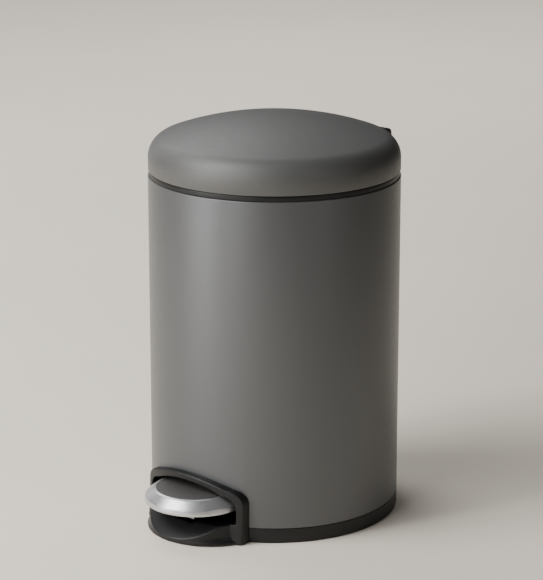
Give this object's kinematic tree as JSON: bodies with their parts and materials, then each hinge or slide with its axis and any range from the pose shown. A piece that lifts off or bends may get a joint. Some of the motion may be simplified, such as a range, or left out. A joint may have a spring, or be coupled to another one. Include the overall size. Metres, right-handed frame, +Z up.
{
  "type": "pedal trash can",
  "caption": "Round pedal trash can with a domed hinged lid, a plastic base with a hooded pedal, a lever and lift rod inside, and a lift-out bucket with a bail.",
  "frame": {"origin": "centre of the flat underside, on the bin's own upright axis", "axes": "+Z up along the bin's axis, -Y towards the pedal at the front, +Y towards the lid's hinge, +X to the right seen from the front"},
  "size_m": [0.25, 0.3096, 0.4006],
  "materials": {
    "titanium_paint": "satin dark grey paint",
    "black_plastic": "satin moulded",
    "satin_silver": "satin silver plating",
    "pad_grey": "matt fine-grained",
    "zinc_steel": "zinc plated",
    "bucket_plastic": "matt moulded",
    "rubber": "matt"
  },
  "bodies": {
    "root": {"body_shell": "titanium_paint", "top_collar": "black_plastic", "base_pan": "black_plastic", "base_cover": "black_plastic", "anti_slip_ring": "rubber", "cover_screw_1": "zinc_steel", "cover_screw_2": "zinc_steel", "cover_screw_3": "zinc_steel", "cover_screw_4": "zinc_steel", "pedal_housing": "black_plastic", "lever_bracket": "zinc_steel", "bracket_screw_1": "zinc_steel", "bracket_screw_2": "zinc_steel", "lever_pin": "zinc_steel", "rod_guide_1": "black_plastic", "rod_guide_2": "black_plastic", "guide_rivet_1": "zinc_steel", "guide_rivet_2": "zinc_steel", "hinge_bracket": "black_plastic", "hinge_pin": "zinc_steel", "hinge_screw_1": "zinc_steel", "hinge_screw_2": "zinc_steel"},
    "lid": {"lid_shell": "titanium_paint", "lid_liner": "black_plastic", "lid_bumper_1": "rubber", "lid_bumper_2": "rubber", "lid_bumper_3": "rubber", "lid_arm": "black_plastic", "arm_screw_1": "zinc_steel", "arm_screw_2": "zinc_steel", "hinge_cap": "black_plastic", "cap_screw_1": "zinc_steel", "cap_screw_2": "zinc_steel"},
    "lever": {"pedal_lever": "zinc_steel", "pedal_core": "black_plastic", "pedal_trim": "satin_silver", "pedal_pad": "pad_grey", "pedal_screw_1": "zinc_steel", "pedal_screw_2": "zinc_steel"},
    "rod": {"lift_rod": "zinc_steel", "rod_foot": "black_plastic"},
    "bucket": {"inner_bucket": "bucket_plastic"},
    "handle": {"bucket_handle": "zinc_steel", "handle_grip": "black_plastic"}
  },
  "joints": [
    {"name": "lid_hinge", "type": "hinge", "parent": "root", "child": "lid", "pos_m": [0, 0.131, 0.355], "axis": [-1, 0, 0], "range_deg": [0, 75]},
    {"name": "pedal_pivot", "type": "hinge", "parent": "root", "child": "lever", "pos_m": [0, -0.025, 0.022], "axis": [1, 0, 0], "range_deg": [0, 6.5]},
    {"name": "rod_lift", "type": "slide", "parent": "root", "child": "rod", "axis": [0, 0, 1], "range_m": [0, 0.0165]},
    {"name": "bucket_lift", "type": "slide", "parent": "root", "child": "bucket", "axis": [0, 0, 1], "range_m": [0, 0.006]},
    {"name": "handle_swing", "type": "hinge", "parent": "bucket", "child": "handle", "pos_m": [0, 0, 0.35], "axis": [-1, 0, 0], "range_deg": [0, 12]}
  ],
  "couplings": [
    {"joint": "pedal_pivot", "follows": "lid_hinge", "ratio": 0.08666},
    {"joint": "rod_lift", "follows": "lid_hinge", "m_per_rad": 0.012564}
  ]
}
